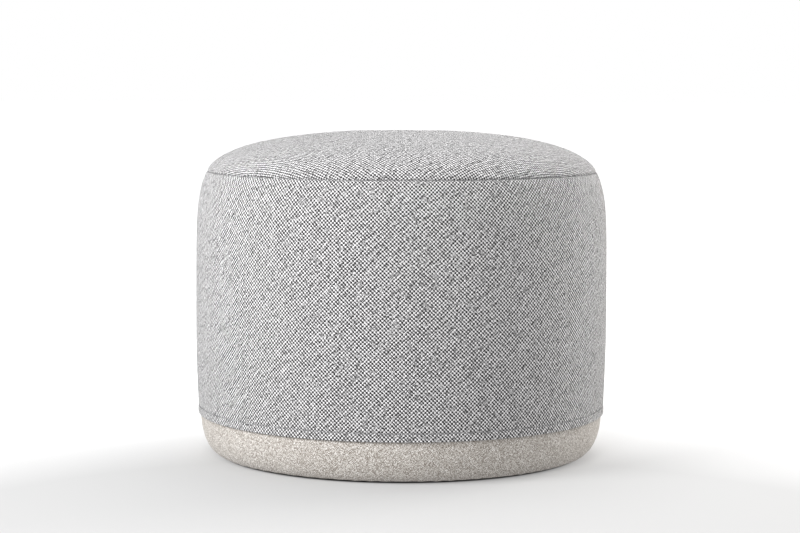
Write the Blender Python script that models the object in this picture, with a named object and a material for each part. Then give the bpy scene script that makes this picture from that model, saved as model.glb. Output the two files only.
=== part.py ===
"""A round upholstered pouf: a timber drum under foam and lining, with a woven cover that lifts off.

Frame: +Z up, origin on the floor below the middle of the drum. Lengths are in metres.
"""

import math

import bmesh
import bpy
import numpy as np
from mathutils import Matrix, Vector

# ---------------------------------------------------------------- driving dimensions

SEGMENTS = 40  # facets round every turned piece, so that nested pieces keep an even gap
GAP = 0.0003  # air between pieces that touch

# The cover's outer surface
BELLY_RADIUS = 0.2500  # widest
BELLY_Z = 0.1980
SEAM_Z = 0.3440  # the top seam
CROWN_Z = 0.3925  # middle of the seat
HEM_Z = 0.0510  # lower edge of the hem
HEM_HEIGHT = 0.0095  # fold to stitching
HEM_RADIUS = 0.2476
SHOULDER_Z = 0.2520  # above this the layers follow the cover, and below it they are straight
SHOULDER_DROP = 0.0033  # how far the side has drawn in at the seam: gentle part
SHOULDER_POWER = 2.5
EDGE_DROP = 0.0103  # and the part that rounds quickly near the seam
EDGE_POWER = 6.0
SKIRT_DROP = 0.0030  # how far the side draws in from the belly to the hem
SKIRT_POWER = 2.2
CROWN_PULL = 0.0245  # length of the crown curve's handle at the seam
CROWN_LANDS = 0.1762  # radius of its other handle, where the crown starts to lie flat

# The cover's layers, as depths below its outer surface
CLOTH = 0.0015
BACKING_IN = CLOTH + GAP
BACKING_OUT = 0.0046
BACKING_Z = 0.0950  # lower edge of the side backing
SEAM_HALF_GROOVE = 0.0016  # soft layers stop this far short of a top seam, for its thread

# The body's layers, as depths below the same surface
LINING_IN = 0.0051
LINING = 0.0008
WADDING_IN = LINING_IN + LINING + GAP
WADDING = 0.0050
FOAM_IN = WADDING_IN + WADDING + GAP

# The linen band round the foot
LINEN = 0.0012
TURN_Z = 0.0510  # where the turn under the foot starts
TURN_WIDTH = 0.0236  # how far the foot draws in
FOOT_Z = 0.0025  # lowest point of the foot
UNDER_Z = 0.0050  # underside of the linen where it is stapled
UNDER_RADIUS = 0.2030  # the linen lies flat on the board inside this
LINEN_INNER_RADIUS = 0.1860  # cut edge of the linen
BAND_Z = 0.1050  # seam between the linen and the lining
WADDING_FOOT_Z = 0.0330

# Timber drum
BOARD = 0.0150
BOARD_Z = UNDER_Z + LINEN + GAP  # underside of the base board
DRUM_RADIUS = 0.2110  # outside of the boards
RING = 0.0180
RING_TOP = 0.3180
RING_HOLE = 0.1650
WALL = 0.0030
FOAM_INNER_RADIUS = DRUM_RADIUS + WALL + 0.0022
POST_COUNT = 6
POST_CIRCLE = 0.1940
POST_SIZE = (0.0280, 0.0450)  # radial and tangential
POST_CHAMFER = 0.0015

# Seat
STRAP_PITCH = 0.1000
STRAP_WIDTH = 0.0500
STRAP = 0.0015
STRAP_REACH = 0.2030  # radius of the straps' end corners, on the ring
STRAP_PLATEAU = 0.0290  # half length of the level stretch at each crossing
STRAP_END = 0.0200  # level stretch on the ring
SPRING_CLOTH = 0.0008
SPRING_CLOTH_RADIUS = 0.2090
SEAT_FOAM_Z = 0.3231

# Underside
DUST_COVER = 0.0007
DUST_COVER_RADIUS = 0.2040
DUST_COVER_Z = 0.0030
GLIDE_COUNT = 4
GLIDE_CIRCLE = 0.1600
GLIDE_RADIUS = 0.0140
GLIDE_BEVEL = 0.0006
NAIL_RADIUS = 0.0013
NAIL_LENGTH = 0.0130

# Fasteners
SCREW_RADIUS = 0.0020
SCREW_HEAD_RADIUS = 0.0042
SCREW_HEAD = 0.0025
SCREW_POINT = 0.0040
SCREW_LENGTH = 0.0450
THREAD = 0.0008

COLOURS = {
    "cover cloth": ((0.46, 0.46, 0.47), 0.95),
    "linen": ((0.56, 0.52, 0.47), 0.95),
    "lining cloth": ((0.80, 0.78, 0.73), 0.95),
    "wadding": ((0.88, 0.88, 0.86), 1.0),
    "foam": ((0.82, 0.76, 0.55), 0.95),
    "hardboard": ((0.30, 0.19, 0.11), 0.8),
    "plywood": ((0.68, 0.52, 0.33), 0.7),
    "softwood": ((0.76, 0.60, 0.38), 0.7),
    "webbing": ((0.10, 0.10, 0.11), 0.9),
    "hessian": ((0.50, 0.38, 0.22), 0.95),
    "dust cloth": ((0.03, 0.03, 0.03), 0.95),
    "glide plastic": ((0.05, 0.05, 0.05), 0.45),
    "steel": ((0.60, 0.60, 0.62), 0.35),
    "grey thread": ((0.16, 0.16, 0.17), 0.9),
    "pale thread": ((0.74, 0.72, 0.67), 0.9),
}
METALS = ("steel",)

# ---------------------------------------------------------------- outlines

SKIRT_STATIONS = (0.0750, BACKING_Z, 0.1350, 0.1900)
SHOULDER_STATIONS = (SHOULDER_Z, 0.2930, 0.3160, 0.3335)
CROWN_STATIONS = (0.16, 0.36, 0.58, 0.79, 1.0)
TURN_STATIONS = (0.0, 0.2, 0.4, 0.6, 0.8, 1.0)


def side_radius(z):
    """Radius of the cover's side at height z: a wide belly that draws in faster near the seam."""
    if z < BELLY_Z:
        down = (BELLY_Z - z) / (BELLY_Z - HEM_Z)
        return BELLY_RADIUS - SKIRT_DROP * down**SKIRT_POWER
    up = (z - BELLY_Z) / (SEAM_Z - BELLY_Z)
    return BELLY_RADIUS - SHOULDER_DROP * up**SHOULDER_POWER - EDGE_DROP * up**EDGE_POWER


def side_lean(z):
    """Change of the side's radius with height."""
    step = 1e-5
    return (side_radius(z + step) - side_radius(z - step)) / (2 * step)


def side_point(z, depth=0.0):
    """The point at height z on the side, moved inwards along the normal by depth."""
    lean = side_lean(z)
    size = math.hypot(1.0, lean)
    return (side_radius(z) - depth / size, z + depth * lean / size)


def crown_point(share, depth=0.0):
    """The point at a share (0 at the seam, 1 in the middle) of the crown, moved inwards by depth.

    The crown is one cubic Bezier curve. It leaves the seam in line with the side, and is level on
    the axis.
    """
    start = np.array([side_radius(SEAM_Z), SEAM_Z])
    along = np.array([side_lean(SEAM_Z), 1.0])
    leave = start + CROWN_PULL * along / np.linalg.norm(along)
    land = np.array([CROWN_LANDS, CROWN_Z])
    end = np.array([0.0, CROWN_Z])
    rest = 1.0 - share
    place = rest**3 * start + 3 * rest**2 * share * leave + 3 * rest * share**2 * land + share**3 * end
    run = rest**2 * (leave - start) + 2 * rest * share * (land - leave) + share**2 * (end - land)
    run /= np.linalg.norm(run)
    point = place + depth * np.array([-run[1], run[0]])
    return (max(0.0, float(point[0])), float(point[1]))


def shoulder(depth, stop=0.0):
    """The rounded top of the side at a depth, from the straight wall to just short of the seam."""
    return [side_point(z, depth) for z in (*SHOULDER_STATIONS, SEAM_Z - stop)]


def crown(depth, stop=0.0):
    """The crown at a depth, from just past the seam to the axis."""
    first = stop / (3 * CROWN_PULL)
    return [crown_point(share, depth) for share in (first, *CROWN_STATIONS)]


BODY_RADIUS = side_point(SHOULDER_Z, LINING_IN)[0]  # the straight wall of lining and linen
COVER_CLEAR_RADIUS = side_point(SHOULDER_Z, BACKING_OUT)[0]  # the cover keeps outside this below it


def foot(depth):
    """The foot's turn, from the wall down to its lowest point: a quarter ellipse, moved inwards."""
    height = TURN_Z - FOOT_Z
    points = []
    for share in TURN_STATIONS:
        angle = share * math.pi / 2
        normal = Vector((height * math.cos(angle), TURN_WIDTH * math.sin(angle))).normalized()
        radius = BODY_RADIUS - TURN_WIDTH + TURN_WIDTH * math.cos(angle) - depth * normal.x
        points.append((radius, TURN_Z - height * math.sin(angle) + depth * normal.y))
    return points


def radius_at(outline, z):
    """Radius of a rising outline at height z."""
    return float(np.interp(z, [point[1] for point in outline], [point[0] for point in outline]))


def disc(bottom, top, radius, hole=0.0):
    """Outline of a flat disc, or of a washer when it has a hole."""
    return [(hole, bottom), (radius, bottom), (radius, top), (hole, top)]


# ---------------------------------------------------------------- making


def clear_scene():
    for thing in list(bpy.data.objects):
        bpy.data.objects.remove(thing, do_unlink=True)


def material(name):
    found = bpy.data.materials.get(name)
    if found:
        return found
    made = bpy.data.materials.new(name)
    made.use_nodes = True
    shader = made.node_tree.nodes["Principled BSDF"]
    colour, roughness = COLOURS[name]
    shader.inputs["Base Color"].default_value = (*colour, 1.0)
    shader.inputs["Roughness"].default_value = roughness
    shader.inputs["Metallic"].default_value = 1.0 if name in METALS else 0.0
    made.diffuse_color = (*colour, 1.0)
    return made


def finish(name, shape, finish_name, body, smooth=True):
    """Turn a bmesh into a named object with its material, under its body's empty."""
    bmesh.ops.recalc_face_normals(shape, faces=shape.faces)
    mesh = bpy.data.meshes.new(name)
    shape.to_mesh(mesh)
    shape.free()
    if smooth:
        mesh.shade_smooth()
        mesh.set_sharp_from_angle(angle=math.radians(35))
    mesh.materials.append(material(finish_name))
    made = bpy.data.objects.new(name, mesh)
    bpy.context.scene.collection.objects.link(made)
    made.parent = body
    return made


def turned_shape(outline, segments=SEGMENTS):
    """Spin a closed outline of (radius, height) points about the Z axis."""
    shape = bmesh.new()
    points = [shape.verts.new((radius, 0.0, z)) for radius, z in outline]
    edges = []
    for one, two in zip(points, points[1:] + points[:1]):
        if max(one.co.x, two.co.x) > 1e-7:
            edges.append(shape.edges.new((one, two)))
    bmesh.ops.spin(shape, geom=points + edges, cent=(0, 0, 0), axis=(0, 0, 1),
                   angle=2 * math.pi, steps=segments, use_merge=True)
    bmesh.ops.remove_doubles(shape, verts=shape.verts, dist=1e-6)
    return shape


def turned(name, outline, finish_name, body, segments=SEGMENTS):
    return finish(name, turned_shape(outline, segments), finish_name, body)


def row_of(name, shape, places, finish_name, body, smooth=True):
    """Equal pieces, numbered from 1, one for each placing matrix."""
    first = finish(name + "_1", shape, finish_name, body, smooth)
    row = [first]
    for number in range(2, len(places) + 1):
        copy = bpy.data.objects.new("%s_%d" % (name, number), first.data)
        bpy.context.scene.collection.objects.link(copy)
        copy.parent = body
        row.append(copy)
    for one, place in zip(row, places):
        one.matrix_local = place
    return row


def around(count, radius, z, phase=0.0):
    """Placing matrices on a circle, each with its X axis along the radius."""
    places = []
    for index in range(count):
        turn = Matrix.Rotation(2 * math.pi * index / count + phase, 4, "Z")
        places.append(turn @ Matrix.Translation((radius, 0.0, z)))
    return places


def drill(target, outline, places):
    """Cut one turned hole for each placing matrix out of a piece."""
    for cutter in row_of(target.name + "_hole", turned_shape(outline, 8), places, "steel", target.parent):
        cutter.hide_render = True
        cutter.display_type = "WIRE"
        cut = target.modifiers.new("hole", "BOOLEAN")
        cut.operation = "DIFFERENCE"
        cut.solver = "EXACT"
        cut.object = cutter


def thread_ring(name, radius, z, finish_name, body):
    """A line of stitching, as one thread right round."""
    half = THREAD / 2
    outline = [(radius - half, z), (radius, z - half), (radius + half, z), (radius, z + half)]
    turned(name, outline, finish_name, body)


# ---------------------------------------------------------------- timber drum


def screw_outline(clearance=0.0):
    """A countersunk screw along -Z with its head's face at height 0, or its hole."""
    head = SCREW_HEAD_RADIUS + clearance
    shank = SCREW_RADIUS + clearance
    tip = -SCREW_LENGTH - clearance
    return [(0.0, clearance), (head, clearance), (shank, -SCREW_HEAD), (shank, tip + SCREW_POINT), (0.0, tip)]


def drum(body):
    board_top = BOARD_Z + BOARD
    ring_z = RING_TOP - RING
    upwards = Matrix.Rotation(math.pi, 4, "X")
    low_screws = [place @ upwards for place in around(POST_COUNT, POST_CIRCLE, BOARD_Z)]
    high_screws = around(POST_COUNT, POST_CIRCLE, RING_TOP)

    board = turned("base_board", disc(BOARD_Z, board_top, DRUM_RADIUS), "plywood", body)
    drill(board, screw_outline(GAP), low_screws)
    nail_hole = disc(-0.001, NAIL_LENGTH, NAIL_RADIUS + GAP)
    drill(board, nail_hole, glide_places(BOARD_Z))
    ring = turned("top_ring", disc(ring_z, RING_TOP, DRUM_RADIUS, RING_HOLE), "plywood", body)
    drill(ring, screw_outline(GAP), high_screws)

    shape = bmesh.new()
    size = Matrix.Diagonal((*POST_SIZE, ring_z - board_top - 2 * GAP, 1.0))
    bmesh.ops.create_cube(shape, size=1.0, matrix=size)
    bmesh.ops.bevel(shape, geom=list(shape.edges), offset=POST_CHAMFER, segments=1, affect="EDGES")
    places = around(POST_COUNT, POST_CIRCLE, (ring_z + board_top) / 2)
    posts = row_of("post", shape, places, "softwood", body, smooth=False)
    for post, low, high in zip(posts, low_screws, high_screws):
        drill(post, screw_outline(GAP), [low, high])
    row_of("base_screw", turned_shape(screw_outline(), 8), low_screws, "steel", body)
    row_of("ring_screw", turned_shape(screw_outline(), 8), high_screws, "steel", body)

    inner = DRUM_RADIUS + GAP
    turned("drum_wall", disc(BOARD_Z, RING_TOP, inner + WALL, inner), "hardboard", body)


# ---------------------------------------------------------------- seat


def strap_underside(index, across):
    """Side view of strap -1, 0 or 1: (distance along, height), over one crossing strap, under the next."""
    low = RING_TOP + GAP
    high = low + STRAP + GAP
    edge = abs(index) * STRAP_PITCH + STRAP_WIDTH / 2
    end = math.sqrt(STRAP_REACH**2 - edge**2)
    points = [(-end, low), (STRAP_END - end, low)]
    for crossing in (-1, 0, 1):
        z = high if (index + crossing) % 2 == across else low
        points.append((crossing * STRAP_PITCH - STRAP_PLATEAU, z))
        points.append((crossing * STRAP_PITCH + STRAP_PLATEAU, z))
    return points + [(end - STRAP_END, low), (end, low)]


def strap(name, index, across, body):
    """A woven strap: its side view carried across its width, along X, or along Y if across is 1."""
    under = strap_underside(index, across)
    outline = under + [(along, z + STRAP) for along, z in reversed(under)]
    edge = index * STRAP_PITCH - STRAP_WIDTH / 2
    shape = bmesh.new()
    face = shape.faces.new([shape.verts.new((along, edge, z)) for along, z in outline])
    grown = bmesh.ops.extrude_face_region(shape, geom=[face])
    moved = [item for item in grown["geom"] if isinstance(item, bmesh.types.BMVert)]
    bmesh.ops.translate(shape, vec=(0, STRAP_WIDTH, 0), verts=moved)
    bmesh.ops.transform(shape, matrix=Matrix.Rotation(across * math.pi / 2, 4, "Z"), verts=shape.verts)
    bmesh.ops.triangulate(shape, faces=[one for one in shape.faces if len(one.verts) > 4])
    finish(name, shape, "webbing", body, smooth=False)


def seat(body):
    for number, index in enumerate((-1, 0, 1), start=1):
        strap("webbing_x_%d" % number, index, 0, body)
        strap("webbing_y_%d" % number, index, 1, body)
    cloth_z = RING_TOP + 3 * GAP + 2 * STRAP
    turned("spring_cloth", disc(cloth_z, cloth_z + SPRING_CLOTH, SPRING_CLOTH_RADIUS), "hessian", body)
    rise = shoulder(FOAM_IN)
    block = [(0.0, SEAT_FOAM_Z), (radius_at(rise, SEAT_FOAM_Z), SEAT_FOAM_Z)]
    block += [point for point in rise if point[1] > SEAT_FOAM_Z]
    turned("seat_foam", block + crown(FOAM_IN)[1:], "foam", body)


# ---------------------------------------------------------------- soft body


def soft_sides(body):
    """The foam and the wadding round the drum, turned under the foot."""
    inside_linen = foot(LINEN + GAP)[::-1]
    corner = (radius_at(inside_linen, WADDING_FOOT_Z), WADDING_FOOT_Z)
    wall = BODY_RADIUS - (FOAM_IN - LINING_IN)
    foam_top = SEAT_FOAM_Z - GAP
    rise = shoulder(FOAM_IN)
    foam = [(FOAM_INNER_RADIUS, UNDER_Z + LINEN + GAP)]
    foam += [point for point in inside_linen if point[1] < WADDING_FOOT_Z] + [corner, (wall, WADDING_FOOT_Z)]
    foam += [point for point in rise if point[1] < foam_top]
    foam += [(radius_at(rise, foam_top), foam_top), (FOAM_INNER_RADIUS, foam_top)]
    turned("side_foam", foam, "foam", body)

    low = WADDING_FOOT_Z + GAP
    behind_linen = BODY_RADIUS - LINEN - GAP
    behind_lining = BODY_RADIUS - LINING - GAP
    groove = behind_linen - THREAD - 2 * GAP
    wadding = [(wall + GAP, low), (radius_at(inside_linen, low), low)]
    wadding += [point for point in inside_linen if point[1] > low]
    wadding += [(behind_linen, BAND_Z - 0.002), (groove, BAND_Z), (behind_lining, BAND_Z + 0.002)]
    wadding += shoulder(WADDING_IN, SEAM_HALF_GROOVE) + shoulder(FOAM_IN - GAP, SEAM_HALF_GROOVE)[::-1]
    turned("side_wadding", wadding, "wadding", body)
    cap = crown(WADDING_IN, SEAM_HALF_GROOVE) + crown(FOAM_IN - GAP, SEAM_HALF_GROOVE)[::-1]
    turned("top_wadding", cap, "wadding", body)


def skins(body):
    """The linen band round the foot, and above it the lining, each a thin shell."""
    top = BAND_Z - GAP / 2
    band = [(BODY_RADIUS, top)] + foot(0.0)
    band += disc(UNDER_Z, UNDER_Z + LINEN, LINEN_INNER_RADIUS, UNDER_RADIUS)
    band += foot(LINEN)[::-1] + [(BODY_RADIUS - LINEN, top)]
    turned("linen_base", band, "linen", body)

    bottom = BAND_Z + GAP / 2
    side = [(BODY_RADIUS, bottom)] + shoulder(LINING_IN, GAP / 2)
    side += shoulder(LINING_IN + LINING, GAP / 2)[::-1] + [(BODY_RADIUS - LINING, bottom)]
    turned("lining_side", side, "lining cloth", body)
    cap = crown(LINING_IN, GAP) + crown(LINING_IN + LINING, GAP)[::-1]
    turned("lining_top", cap, "lining cloth", body)

    thread_ring("band_seam_thread", BODY_RADIUS - LINEN - GAP - THREAD / 2, BAND_Z, "pale thread", body)
    seam = side_point(SEAM_Z, WADDING_IN + THREAD / 2)
    thread_ring("lining_seam_thread", seam[0], seam[1], "pale thread", body)


# ---------------------------------------------------------------- underside


def glide_places(z):
    return around(GLIDE_COUNT, GLIDE_CIRCLE, z, math.pi / GLIDE_COUNT)


def underside(body):
    cloth_top = DUST_COVER_Z + DUST_COVER
    cloth = turned("dust_cover", disc(DUST_COVER_Z, cloth_top, DUST_COVER_RADIUS), "dust cloth", body)
    drill(cloth, disc(-0.001, 0.002, NAIL_RADIUS + GAP), glide_places(DUST_COVER_Z))

    top = DUST_COVER_Z - GAP
    cap = [(0, 0), (GLIDE_RADIUS - GLIDE_BEVEL, 0), (GLIDE_RADIUS, GLIDE_BEVEL)]
    cap += [(GLIDE_RADIUS, top), (0, top)]
    row_of("glide", turned_shape(cap, 20), glide_places(0.0), "glide plastic", body)
    nail = [(0, 0), (NAIL_RADIUS, 0), (NAIL_RADIUS, NAIL_LENGTH - 2 * NAIL_RADIUS), (0, NAIL_LENGTH)]
    row_of("glide_nail", turned_shape(nail, 8), glide_places(DUST_COVER_Z), "steel", body)


# ---------------------------------------------------------------- cover


def cover(body):
    """The woven cover: side with its hem, top, their backings and their stitching."""
    hem_top = HEM_Z + HEM_HEIGHT
    notch = THREAD + 2 * GAP  # the stitching draws the hem in to this width
    round_edge = 0.0008
    hem = [
        (COVER_CLEAR_RADIUS + round_edge, HEM_Z),
        (HEM_RADIUS - round_edge, HEM_Z),
        (HEM_RADIUS, HEM_Z + round_edge),
        (HEM_RADIUS, hem_top - notch / 2),
        (HEM_RADIUS - notch / 2, hem_top),
        (side_radius(hem_top + notch), hem_top + notch),
    ]
    outer = [(side_radius(z), z) for z in SKIRT_STATIONS] + shoulder(0.0, GAP / 2)
    inner = [(side_radius(z) - CLOTH, z) for z in SKIRT_STATIONS] + shoulder(CLOTH, GAP / 2)
    inside_hem = [(COVER_CLEAR_RADIUS, HEM_Z + round_edge), (COVER_CLEAR_RADIUS, hem_top + notch)]
    turned("cover_side", hem + outer + inner[::-1] + inside_hem[::-1], "cover cloth", body)
    turned("cover_top", crown(0.0, GAP) + crown(CLOTH, GAP)[::-1], "cover cloth", body)

    face = [(side_radius(z) - BACKING_IN, z) for z in SKIRT_STATIONS if z >= BACKING_Z]
    face += shoulder(BACKING_IN, SEAM_HALF_GROOVE)
    back = [(COVER_CLEAR_RADIUS, BACKING_Z)] + shoulder(BACKING_OUT, SEAM_HALF_GROOVE)
    turned("cover_side_backing", face + back[::-1], "wadding", body)
    cap = crown(BACKING_IN, SEAM_HALF_GROOVE) + crown(BACKING_OUT, SEAM_HALF_GROOVE)[::-1]
    turned("cover_top_backing", cap, "wadding", body)

    thread_ring("cover_hem_thread", HEM_RADIUS - notch / 2 + GAP + THREAD / 2, hem_top, "grey thread", body)
    seam = side_point(SEAM_Z, CLOTH + GAP + THREAD / 2)
    thread_ring("cover_seam_thread", seam[0], seam[1], "grey thread", body)


# ---------------------------------------------------------------- build


def body_empty(name):
    """The parent of one rigid body's pieces, on the axis that the cover lifts along."""
    empty = bpy.data.objects.new(name, None)
    empty.empty_display_size = 0.05
    bpy.context.scene.collection.objects.link(empty)
    return empty


clear_scene()
pouf_body = body_empty("pouf_body")
drum(pouf_body)
seat(pouf_body)
soft_sides(pouf_body)
skins(pouf_body)
underside(pouf_body)
cover(body_empty("cover"))
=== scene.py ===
"""Finish of the round upholstered pouf: woven cover with a turned hem, linen foot, lining, fillings,
seat webbing, timber drum and underside. Lengths are in metres, in the part's own frame."""

import math

import bpy
import numpy as np
from mathutils import Matrix, Vector


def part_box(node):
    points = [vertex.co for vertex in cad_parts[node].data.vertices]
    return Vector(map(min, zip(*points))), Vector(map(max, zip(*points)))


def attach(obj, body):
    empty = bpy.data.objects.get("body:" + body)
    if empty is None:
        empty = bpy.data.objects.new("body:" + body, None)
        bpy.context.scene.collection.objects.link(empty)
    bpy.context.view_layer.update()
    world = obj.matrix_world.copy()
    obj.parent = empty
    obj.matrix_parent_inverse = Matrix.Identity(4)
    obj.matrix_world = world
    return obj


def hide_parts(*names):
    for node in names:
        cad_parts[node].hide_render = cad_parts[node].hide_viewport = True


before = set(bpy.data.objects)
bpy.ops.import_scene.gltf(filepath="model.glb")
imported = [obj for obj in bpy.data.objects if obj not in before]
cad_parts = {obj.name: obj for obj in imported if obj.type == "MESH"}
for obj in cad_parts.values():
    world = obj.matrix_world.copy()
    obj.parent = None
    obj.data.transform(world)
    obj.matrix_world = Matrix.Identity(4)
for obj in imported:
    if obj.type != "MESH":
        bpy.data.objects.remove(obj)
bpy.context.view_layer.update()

# ---------------------------------------------------------------- sizes

GAP = 0.0003
COVER_LOW, COVER_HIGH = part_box("cover_side")
LINEN_LOW, LINEN_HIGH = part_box("linen_base")
BELLY_RADIUS = COVER_HIGH[0]  # the cover's widest radius
BELLY_Z = 0.1980
SEAM_Z = COVER_HIGH[2] + GAP / 2  # the top seam
CROWN_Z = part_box("cover_top")[1][2]
HEM_Z = COVER_LOW[2]  # lower edge of the hem
STITCH_Z = HEM_Z + 0.0095  # the hem's line of stitching
HEM_RADIUS = 0.2476
HEM_INSIDE = 0.2451
YARN = 0.0022  # pitch of the cover's yarns, both ways
YARNS_ROUND = 714  # yarns in one turn round the belly
CLOTH = 0.0012
ROLL_DEPTH, ROLL_WIDTH = 0.0022, 0.0025  # how the two cover panels roll in to the top seam
BACKING_TOP, BACKING_BOTTOM = 0.0018, 0.0046  # depths below the cover's face
LINING_TOP, WADDING_TOP, FOAM_TOP = 0.0051, 0.0072, 0.0115
WALL_RADIUS = LINEN_HIGH[0]  # linen and lining on the straight wall
BAND_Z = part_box("lining_side")[0][2]
SWELL_Z, WALL_TOP = 0.2560, 0.2480  # the soft layers leave the cover's line, and reach the straight wall
WADDING_IN, FOAM_IN = 0.0021, 0.0064  # depths below the linen on the straight wall
TURN_Z, TURN_WIDTH = 0.0510, 0.0236  # where the foot starts to turn, and how far it draws in
FOOT_Z = LINEN_LOW[2]
UNDER_Z = 0.0050  # the linen's turned-under edge
LINEN = 0.0011
LINEN_YARN = 0.0011  # pitch of the linen's yarns
FULL = 2 * math.pi
SHARP = math.radians(60)  # cut edges of a cloth are sharper than this

# ---------------------------------------------------------------- outlines


def side_radius(z):
    """Radius of the cover at height z: the belly's radius, less one power of the drop below the belly
    and two powers of the rise above it."""
    down = np.clip(BELLY_Z - z, 0, None) / (BELLY_Z - HEM_Z)
    up = np.clip(z - BELLY_Z, 0, None) / (SEAM_Z - BELLY_Z)
    return BELLY_RADIUS - 0.0030 * down**2.2 - 0.0033 * up**2.5 - 0.0103 * up**6


def side(z, depth=0.0):
    """Points (radius, height) of the side at heights z, moved inwards along the normal by depth."""
    lean = (side_radius(z + 1e-5) - side_radius(z - 1e-5)) / 2e-5
    size = np.hypot(1.0, lean)
    return np.stack([side_radius(z) - depth / size, z + depth * lean / size], axis=-1)


def crown(share, depth=0.0):
    """Points of the crown from the axis (share 0) to the seam (share 1), moved inwards by depth. It is a
    cubic Bezier curve that leaves the seam in line with the side and is level on the axis."""
    rest = share[:, None]
    share = 1.0 - rest
    start = np.array([side_radius(SEAM_Z), SEAM_Z])
    lean = (side_radius(SEAM_Z) - side_radius(SEAM_Z - 1e-5)) / 1e-5
    leave = start + 0.0245 * np.array([lean, 1.0]) / math.hypot(1.0, lean)
    land = np.array([0.1762, CROWN_Z])
    end = np.array([0.0, CROWN_Z])
    place = rest**3 * start + 3 * rest**2 * share * leave + 3 * rest * share**2 * land + share**3 * end
    run = rest**2 * (leave - start) + 2 * rest * share * (land - leave) + share**2 * (end - land)
    run /= np.linalg.norm(run, axis=1)[:, None]
    place = place + depth * np.stack([-run[:, 1], run[:, 0]], axis=-1)
    place[:, 0] = np.clip(place[:, 0], 0.0, None)
    return place


def even(outline, step):
    """The same outline with its points spaced evenly, about a step apart."""
    outline = np.asarray(outline, float)
    far = np.concatenate([[0.0], np.cumsum(np.linalg.norm(np.diff(outline, axis=0), axis=1))])
    count = max(2, int(round(far[-1] / step)) + 1)
    at = np.linspace(0.0, far[-1], count)
    return np.stack([np.interp(at, far, outline[:, 0]), np.interp(at, far, outline[:, 1])], axis=-1)


def length_along(outline):
    """Distance along the outline from its first point."""
    return np.concatenate([[0.0], np.cumsum(np.linalg.norm(np.diff(outline, axis=0), axis=1))])


def outward(outline):
    """Unit normals of an outline that runs outwards and down: the run (dr, dz) turned to (-dz, dr)."""
    run = np.gradient(outline, axis=0)
    run /= np.linalg.norm(run, axis=1)[:, None]
    return np.stack([-run[:, 1], run[:, 0]], axis=-1)


def foot(depth=0.0):
    """The foot's turn from the wall to its lowest point: a quarter ellipse, moved inwards by depth."""
    angle = np.linspace(0.0, math.pi / 2, 30)
    height = TURN_Z - FOOT_Z
    normal = np.stack([height * np.cos(angle), TURN_WIDTH * np.sin(angle)], axis=-1)
    normal /= np.linalg.norm(normal, axis=1)[:, None]
    radius = WALL_RADIUS - TURN_WIDTH + TURN_WIDTH * np.cos(angle) - depth * normal[:, 0]
    return np.stack([radius, TURN_Z - height * np.sin(angle) + depth * normal[:, 1]], axis=-1)


# ---------------------------------------------------------------- making


def mesh_of(name, points, faces, uv=None):
    """A mesh from points and arrays of quads or triangles, with its corners' places in the cloth."""
    mesh = bpy.data.meshes.new(name)
    mesh.vertices.add(len(points))
    mesh.vertices.foreach_set("co", np.asarray(points, np.float32).ravel())
    corners = np.concatenate([part.ravel() for part in faces])
    counts = np.concatenate([np.full(len(part), part.shape[1]) for part in faces])
    mesh.loops.add(len(corners))
    mesh.loops.foreach_set("vertex_index", corners.astype(np.int32))
    mesh.polygons.add(len(counts))
    mesh.polygons.foreach_set("loop_start", (np.cumsum(counts) - counts).astype(np.int32))
    if uv is not None:
        layer = mesh.uv_layers.new(name="cloth")
        places = np.concatenate([part.reshape(-1, 2) for part in uv])
        layer.data.foreach_set("uv", places.astype(np.float32).ravel())
    mesh.update(calc_edges=True)
    mesh.validate()
    mesh.shade_smooth()
    return mesh


def squares(grid):
    """The four corners of each square of a grid."""
    return np.stack([grid[:-1, :-1], grid[1:, :-1], grid[1:, 1:], grid[:-1, 1:]], axis=2)


def surface(name, points, uv=None, wrap=(False, False)):
    """A mesh through a grid of points, one quad between each four neighbours. Wrap joins the last row or
    column to the first. A row that lies on the axis is one point, with triangles round it."""
    rows, columns = points.shape[:2]
    index = np.arange(rows * columns).reshape(rows, columns)
    poles = np.hypot(points[..., 0], points[..., 1]).max(axis=1) < 1e-7
    index[poles] = index[poles][:, :1]
    if wrap[0]:
        index = np.vstack([index, index[:1]])
    if wrap[1]:
        index = np.hstack([index, index[:, :1]])
    quads = squares(index).reshape(-1, 4)
    first, last = quads[:, 0] == quads[:, 3], quads[:, 1] == quads[:, 2]
    parts = [quads[~first & ~last], quads[first & ~last][:, :3], quads[last & ~first][:, [0, 1, 3]]]
    maps = None
    if uv is not None:
        corner = squares(uv).reshape(-1, 4, 2)
        maps = [corner[~first & ~last], corner[first & ~last][:, :3], corner[last & ~first][:, [0, 1, 3]]]
    used, places = np.unique(np.concatenate([part.ravel() for part in parts]), return_inverse=True)
    cuts = np.cumsum([part.size for part in parts])[:-1]
    faces = [new.reshape(part.shape) for new, part in zip(np.split(places.ravel(), cuts), parts)]
    return mesh_of(name, points.reshape(-1, 3)[used], faces, maps)


def carried(outline, columns, start=0.0, sweep=FULL, push=None):
    """The outline carried round Z: (r cos t, r sin t, z) for t from start over sweep. Push gives how far
    each point moves along the outline's normal, from the angles and the distances along it."""
    closed = sweep >= FULL - 1e-9
    turn = start + sweep * np.arange(columns + (0 if closed else 1)) / columns
    move = push(turn[None, :], length_along(outline)[:, None]) if push else 0.0
    normal = outward(outline)
    radius = outline[:, :1] + move * normal[:, :1] + 0 * turn[None, :]
    height = outline[:, 1:] + move * normal[:, 1:] + 0 * turn[None, :]
    radius = np.where(outline[:, :1] < 1e-9, 0.0, radius)
    return np.stack([radius * np.cos(turn), radius * np.sin(turn), height], axis=-1), turn


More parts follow.
